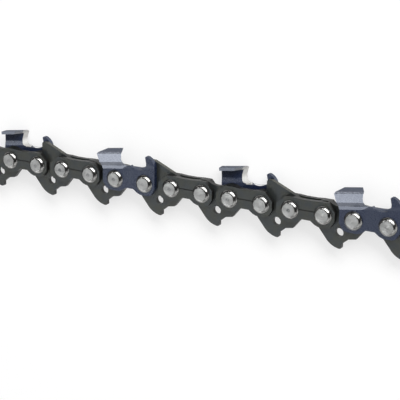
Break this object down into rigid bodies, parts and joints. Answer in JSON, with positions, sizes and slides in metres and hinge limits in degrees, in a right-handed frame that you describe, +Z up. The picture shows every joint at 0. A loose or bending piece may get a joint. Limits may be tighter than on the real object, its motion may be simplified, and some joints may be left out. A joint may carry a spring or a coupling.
{
  "type": "saw chain section",
  "caption": "Open stretch of low-profile saw chain: tanged drive links, tie straps and left and right cutters, riveted so that it bends one way.",
  "frame": {"origin": "centre of the bottom of the overall box, on the surface that the chain lies on", "axes": "+X along the chain in its cutting direction, +Y from the tangs to the cutters, +Z up along the rivets"},
  "size_m": [0.147, 0.0178, 0.0073],
  "materials": {
    "cutter_steel": "blued, satin, bright where filed",
    "link_steel": "dark oxide, satin",
    "rivet_steel": "bright, spun heads"
  },
  "bodies": {
    "link_0": {"drive_link_0": "link_steel"},
    "link_1": {"drive_link_1": "link_steel"},
    "link_2": {"drive_link_2": "link_steel"},
    "link_3": {"drive_link_3": "link_steel"},
    "link_4": {"drive_link_4": "link_steel"},
    "link_5": {"drive_link_5": "link_steel"},
    "link_6": {"drive_link_6": "link_steel"},
    "link_7": {"drive_link_7": "link_steel"},
    "pair_a": {"tie_strap_a_upper": "link_steel", "cutter_a_lower": "cutter_steel", "rivet_a_rear": "rivet_steel", "rivet_a_front": "rivet_steel"},
    "pair_b": {"tie_strap_b_upper": "link_steel", "tie_strap_b_lower": "link_steel", "rivet_b_rear": "rivet_steel", "rivet_b_front": "rivet_steel"},
    "pair_c": {"cutter_c_upper": "cutter_steel", "tie_strap_c_lower": "link_steel", "rivet_c_rear": "rivet_steel", "rivet_c_front": "rivet_steel"},
    "pair_d": {"tie_strap_d_upper": "link_steel", "tie_strap_d_lower": "link_steel", "rivet_d_rear": "rivet_steel", "rivet_d_front": "rivet_steel"},
    "pair_e": {"tie_strap_e_upper": "link_steel", "cutter_e_lower": "cutter_steel", "rivet_e_rear": "rivet_steel", "rivet_e_front": "rivet_steel"},
    "pair_f": {"tie_strap_f_upper": "link_steel", "tie_strap_f_lower": "link_steel", "rivet_f_rear": "rivet_steel", "rivet_f_front": "rivet_steel"},
    "pair_g": {"cutter_g_upper": "cutter_steel", "tie_strap_g_lower": "link_steel", "rivet_g_rear": "rivet_steel", "rivet_g_front": "rivet_steel"}
  },
  "joints": [
    {"name": "rivet_e_rear_pivot", "type": "hinge", "parent": "link_4", "child": "pair_e", "pos_m": [0.01372, 0.00012, 0.00363], "axis": [0, 0, -1], "range_deg": [-6, 22.5]},
    {"name": "rivet_e_front_pivot", "type": "hinge", "parent": "pair_e", "child": "link_5", "pos_m": [0.02356, 0.00012, 0.00363], "axis": [0, 0, -1], "range_deg": [-6, 22.5]},
    {"name": "rivet_f_rear_pivot", "type": "hinge", "parent": "link_5", "child": "pair_f", "pos_m": [0.03236, 0.00012, 0.00363], "axis": [0, 0, -1], "range_deg": [-6, 22.5]},
    {"name": "rivet_f_front_pivot", "type": "hinge", "parent": "pair_f", "child": "link_6", "pos_m": [0.0422, 0.00012, 0.00363], "axis": [0, 0, -1], "range_deg": [-6, 22.5]},
    {"name": "rivet_g_rear_pivot", "type": "hinge", "parent": "link_6", "child": "pair_g", "pos_m": [0.051, 0.00012, 0.00363], "axis": [0, 0, -1], "range_deg": [-6, 22.5]},
    {"name": "rivet_g_front_pivot", "type": "hinge", "parent": "pair_g", "child": "link_7", "pos_m": [0.06084, 0.00012, 0.00363], "axis": [0, 0, -1], "range_deg": [-6, 22.5]},
    {"name": "rivet_d_front_pivot", "type": "hinge", "parent": "link_4", "child": "pair_d", "pos_m": [0.00492, 0.00012, 0.00363], "axis": [0, 0, 1], "range_deg": [-6, 22.5]},
    {"name": "rivet_d_rear_pivot", "type": "hinge", "parent": "pair_d", "child": "link_3", "pos_m": [-0.00492, 0.00012, 0.00363], "axis": [0, 0, 1], "range_deg": [-6, 22.5]},
    {"name": "rivet_c_front_pivot", "type": "hinge", "parent": "link_3", "child": "pair_c", "pos_m": [-0.01372, 0.00012, 0.00363], "axis": [0, 0, 1], "range_deg": [-6, 22.5]},
    {"name": "rivet_c_rear_pivot", "type": "hinge", "parent": "pair_c", "child": "link_2", "pos_m": [-0.02356, 0.00012, 0.00363], "axis": [0, 0, 1], "range_deg": [-6, 22.5]},
    {"name": "rivet_b_front_pivot", "type": "hinge", "parent": "link_2", "child": "pair_b", "pos_m": [-0.03236, 0.00012, 0.00363], "axis": [0, 0, 1], "range_deg": [-6, 22.5]},
    {"name": "rivet_b_rear_pivot", "type": "hinge", "parent": "pair_b", "child": "link_1", "pos_m": [-0.0422, 0.00012, 0.00363], "axis": [0, 0, 1], "range_deg": [-6, 22.5]},
    {"name": "rivet_a_front_pivot", "type": "hinge", "parent": "link_1", "child": "pair_a", "pos_m": [-0.051, 0.00012, 0.00363], "axis": [0, 0, 1], "range_deg": [-6, 22.5]},
    {"name": "rivet_a_rear_pivot", "type": "hinge", "parent": "pair_a", "child": "link_0", "pos_m": [-0.06084, 0.00012, 0.00363], "axis": [0, 0, 1], "range_deg": [-6, 22.5]}
  ]
}
